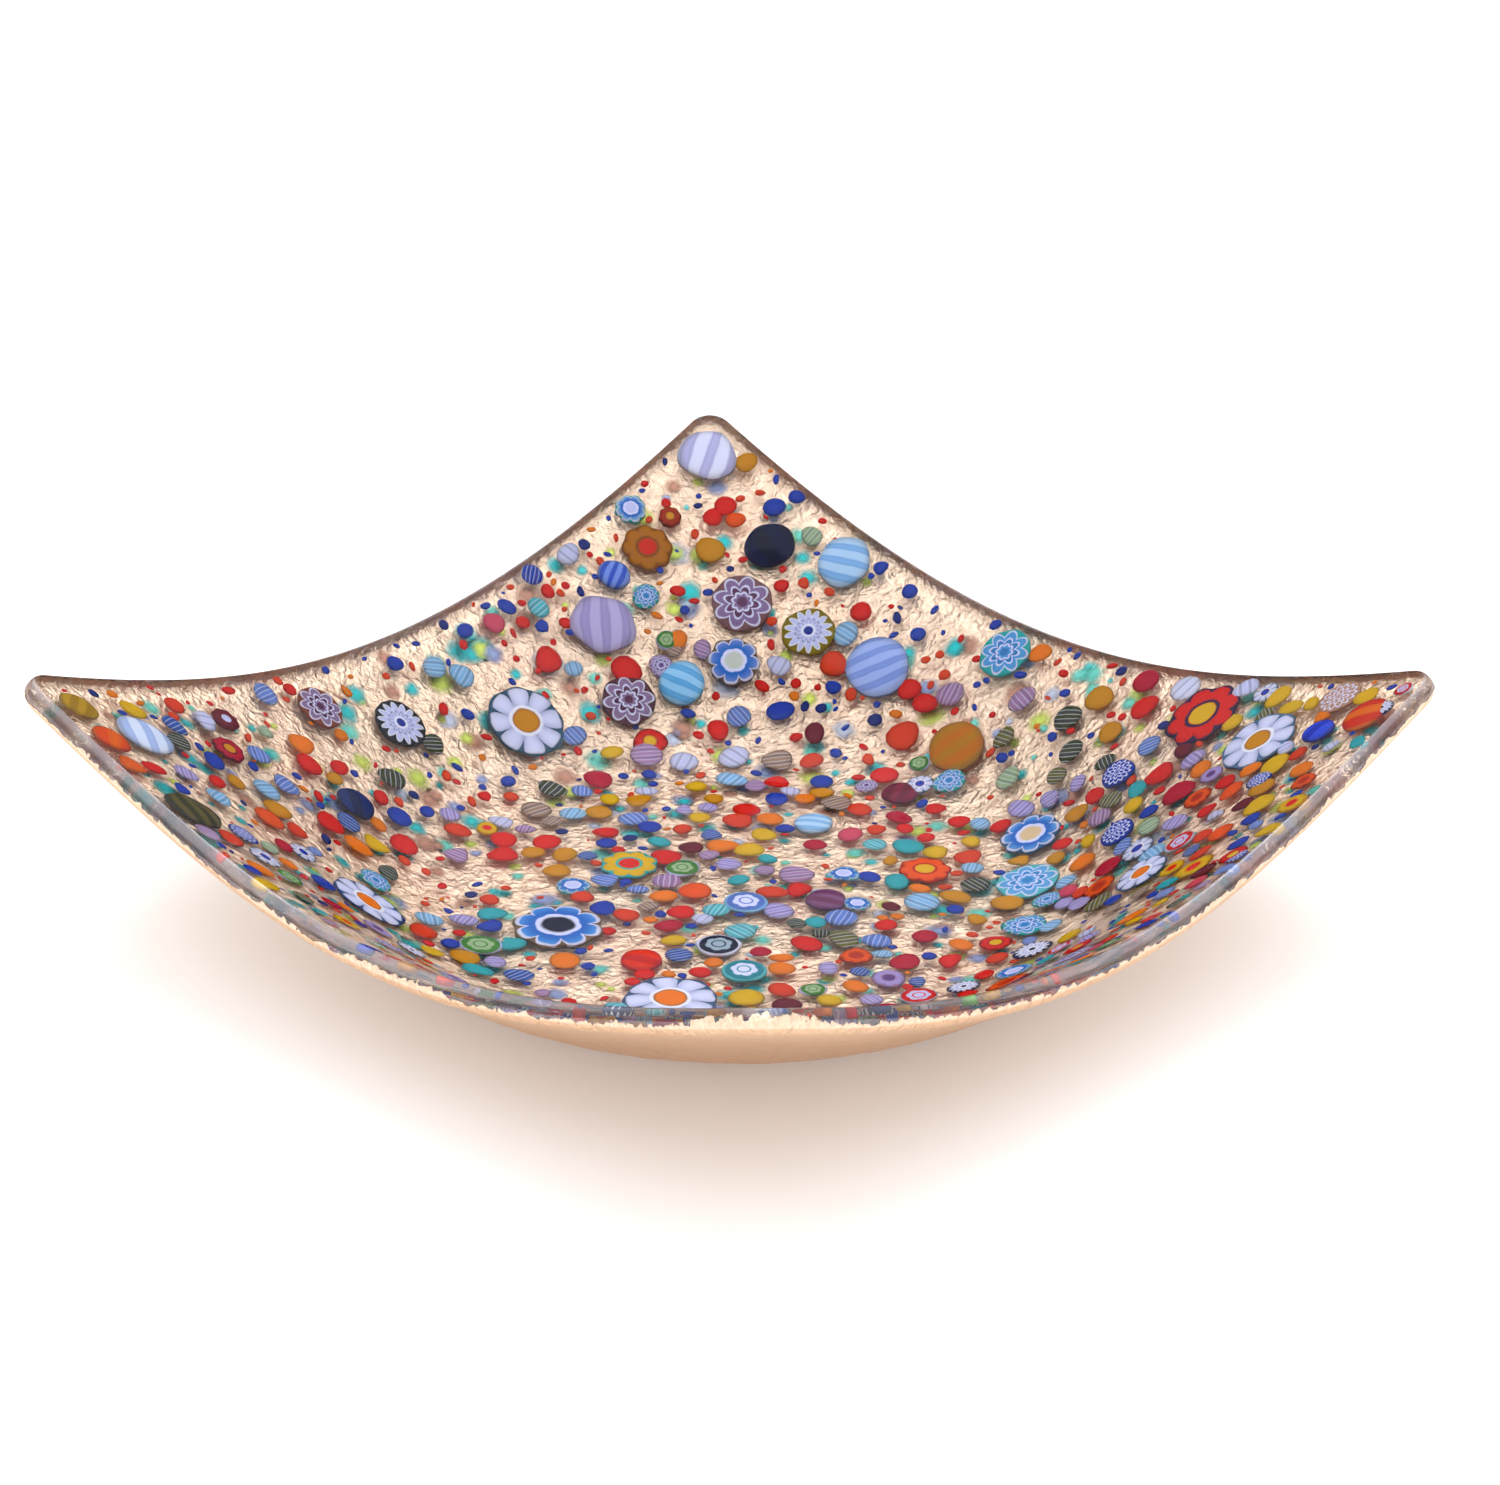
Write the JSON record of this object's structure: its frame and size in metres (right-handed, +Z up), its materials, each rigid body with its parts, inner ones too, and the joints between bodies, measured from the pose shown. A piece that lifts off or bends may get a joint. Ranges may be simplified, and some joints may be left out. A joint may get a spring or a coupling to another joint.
{
  "type": "art glass bowl",
  "caption": "Square slumped art glass bowl with a flat round floor, patterned cane slices and beads let into its clear face and gold leaf under it.",
  "frame": {"origin": "middle of the flat base, on the surface the bowl stands on", "axes": "+Z up out of the bowl; X and Y along the sides of the square"},
  "size_m": [0.1862, 0.1862, 0.0483],
  "materials": {
    "clear_glass": "fire-polished, clear",
    "gold_leaf": "thin leaf, satin, crinkled",
    "cane_white": "fused opaque glass, glossy",
    "cane_sky": "fused opaque glass, glossy",
    "cane_red": "fused opaque glass, glossy",
    "cane_yellow": "fused opaque glass, glossy",
    "cane_orange": "fused opaque glass, glossy",
    "cane_purple": "fused opaque glass, glossy",
    "cane_tan": "fused opaque glass, glossy",
    "cane_blue": "fused opaque glass, glossy",
    "cane_navy": "fused opaque glass, glossy",
    "cane_olive": "fused opaque glass, glossy"
  },
  "bodies": {
    "root": {"glass_sheet": "clear_glass", "gold_leaf_front_left": "gold_leaf", "gold_leaf_front_middle": "gold_leaf", "gold_leaf_front_right": "gold_leaf", "gold_leaf_middle_left": "gold_leaf", "gold_leaf_middle_middle": "gold_leaf", "gold_leaf_middle_right": "gold_leaf", "gold_leaf_back_left": "gold_leaf", "gold_leaf_back_middle": "gold_leaf", "gold_leaf_back_right": "gold_leaf", "daisy_white_back": "cane_white", "daisy_white_right": "cane_white", "daisy_white_left": "cane_white", "daisy_white_front": "cane_white", "daisy_white_small": "cane_white", "daisy_blue_floor": "cane_sky", "flower_red_right": "cane_red", "flower_yellow_floor": "cane_yellow", "flower_yellow_front": "cane_yellow", "flower_ochre_back": "cane_yellow", "flower_orange_floor": "cane_orange", "flower_blue_back": "cane_sky", "flower_blue_floor": "cane_sky", "flower_sky_edge": "cane_sky", "flower_red_back": "cane_red", "flower_red_left": "cane_red", "flower_crimson_left": "cane_red", "wave_aqua_right": "cane_sky", "wave_sky_floor": "cane_sky", "star_purple_back": "cane_purple", "star_purple_middle": "cane_purple", "star_purple_left": "cane_purple", "star_purple_front": "cane_purple", "sunburst_left": "cane_white", "sunburst_back": "cane_white", "lace_tan_corner": "cane_tan", "lace_cobalt_right": "cane_blue", "lace_cobalt_floor": "cane_blue", "ring_navy_floor": "cane_navy", "ring_aqua_floor": "cane_sky", "ring_white_floor": "cane_white", "bead_pearl_corner": "cane_white", "bead_lilac_back": "cane_purple", "bead_sky_middle": "cane_sky", "bead_periwinkle_back": "cane_sky", "bead_sky_back": "cane_sky", "bead_navy_back": "cane_navy", "bead_olive_floor": "cane_olive", "bead_sky_left": "cane_sky", "bead_orange_corner": "cane_orange", "bead_olive_left": "cane_olive", "bead_orange_left": "cane_orange", "bead_yellow_left": "cane_yellow", "bead_blue_back": "cane_blue", "bead_navy_left": "cane_navy", "bead_plum_floor": "cane_purple", "bead_crimson_floor": "cane_red", "bead_red_floor": "cane_red", "bead_blue_right": "cane_blue", "bead_sky_floor": "cane_sky"}
  },
  "joints": []
}
